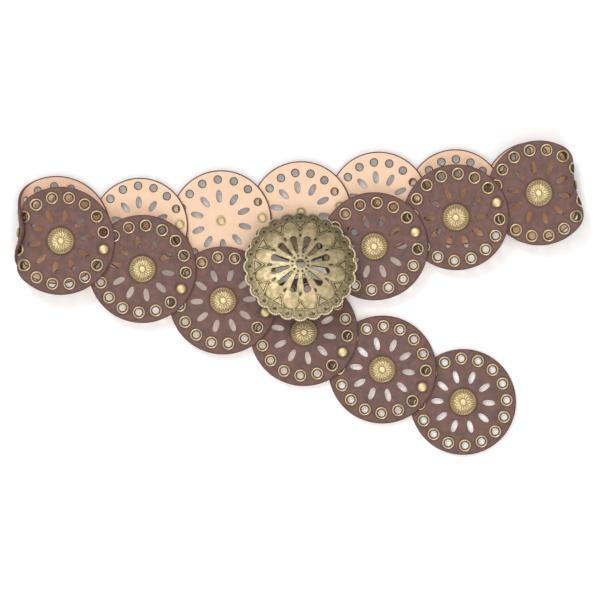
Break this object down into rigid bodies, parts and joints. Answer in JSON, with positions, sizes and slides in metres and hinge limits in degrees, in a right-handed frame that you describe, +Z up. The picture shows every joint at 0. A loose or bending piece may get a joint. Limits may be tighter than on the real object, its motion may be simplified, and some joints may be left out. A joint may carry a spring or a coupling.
{
  "type": "concho belt",
  "caption": "Leather disc belt with domed sunburst rivets, link rivets and a large pierced buckle concho, lying folded back on itself twice.",
  "frame": {"origin": "under the middle of the outline, on the plane that the belt lies on", "axes": "+Z up; +X from the left fold towards the right fold; +Y away from the free end, towards the upper run"},
  "size_m": [0.3684, 0.2034, 0.0338],
  "materials": {
    "leather_face": "matt, brown with a mauve cast",
    "leather_back": "raw tan flesh side",
    "brass": "antiqued, softly polished",
    "aged_brass": "antiqued, darker, with dark recesses"
  },
  "bodies": {
    "root": {"leather_disc_01": "leather_face", "leather_disc_02": "leather_face", "leather_disc_03": "leather_face", "leather_disc_04": "leather_back", "leather_disc_05": "leather_back", "leather_disc_06": "leather_back", "leather_disc_07": "leather_back", "leather_disc_08": "leather_back", "leather_disc_09": "leather_back", "leather_disc_10": "leather_back", "leather_disc_11": "leather_face", "leather_disc_12": "leather_face", "leather_disc_13": "leather_face", "leather_disc_14": "leather_face", "leather_disc_15": "leather_face", "leather_disc_16": "leather_face", "centre_concho_01": "brass", "centre_concho_02": "brass", "centre_concho_03": "brass", "centre_concho_04": "brass", "centre_concho_05": "brass", "centre_concho_06": "brass", "centre_concho_07": "brass", "centre_concho_08": "brass", "centre_concho_09": "brass", "centre_concho_10": "brass", "centre_concho_11": "brass", "centre_concho_12": "brass", "centre_concho_13": "brass", "centre_concho_14": "brass", "centre_concho_15": "brass", "centre_concho_16": "brass", "link_rivet_00": "brass", "link_rivet_01": "brass", "link_rivet_02": "brass", "link_rivet_03": "brass", "link_rivet_04": "brass", "link_rivet_05": "brass", "link_rivet_06": "brass", "link_rivet_07": "brass", "link_rivet_08": "brass", "link_rivet_09": "brass", "link_rivet_10": "brass", "link_rivet_11": "brass", "link_rivet_12": "brass", "link_rivet_13": "brass", "link_rivet_14": "brass", "link_rivet_15": "brass", "buckle_concho": "aged_brass"}
  },
  "joints": []
}
